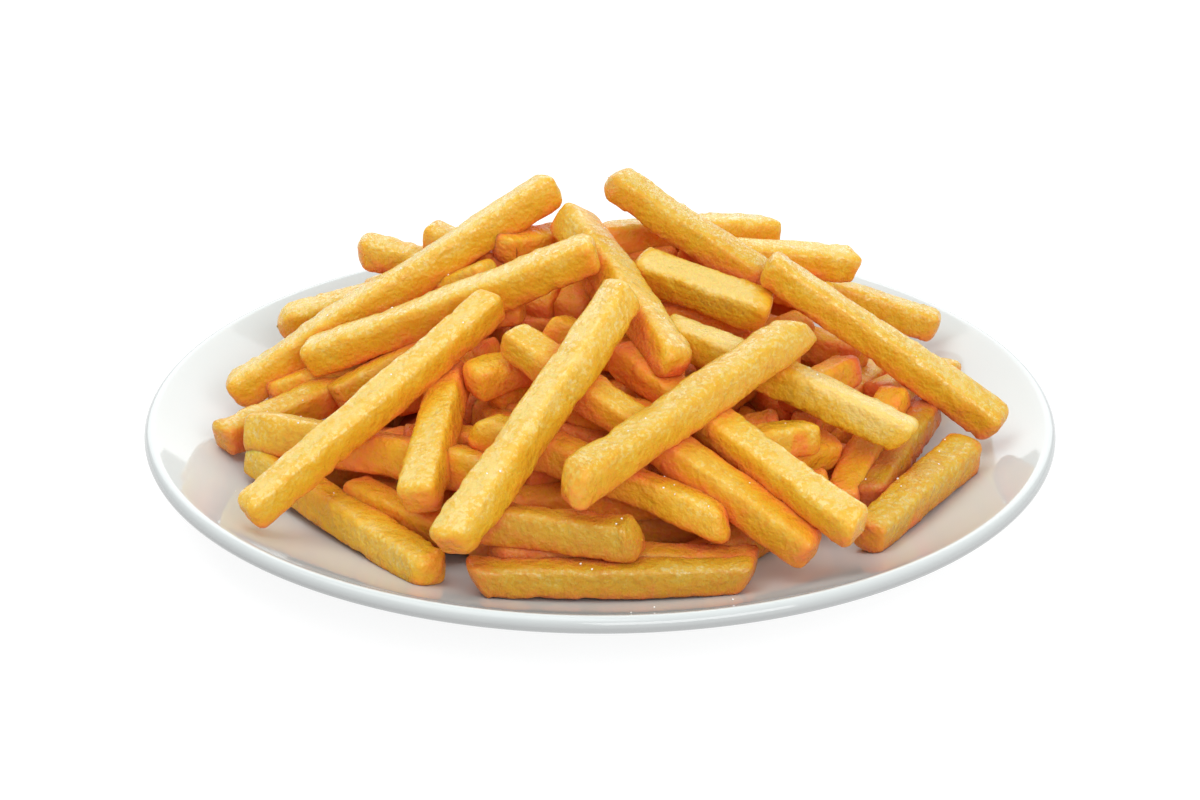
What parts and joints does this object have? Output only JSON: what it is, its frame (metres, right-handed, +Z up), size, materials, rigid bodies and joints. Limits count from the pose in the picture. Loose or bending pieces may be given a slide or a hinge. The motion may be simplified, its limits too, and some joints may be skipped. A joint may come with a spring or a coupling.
{
  "type": "french fries portion on a plate",
  "caption": "A heaped portion of straight-cut golden french fries on a round, shallow, plain white plate.",
  "frame": {"origin": "The centre of the plate's foot, on the surface that the plate stands on.", "axes": "+Z is up; -Y is the front, from which the heap is usually seen; +X is to the right as seen from the front."},
  "size_m": [0.26, 0.26, 0.087],
  "materials": {
    "glazed_porcelain": "gloss",
    "fried_potato": "satin"
  },
  "bodies": {
    "root": {"plate": "glazed_porcelain", "fries": "fried_potato"}
  },
  "joints": []
}
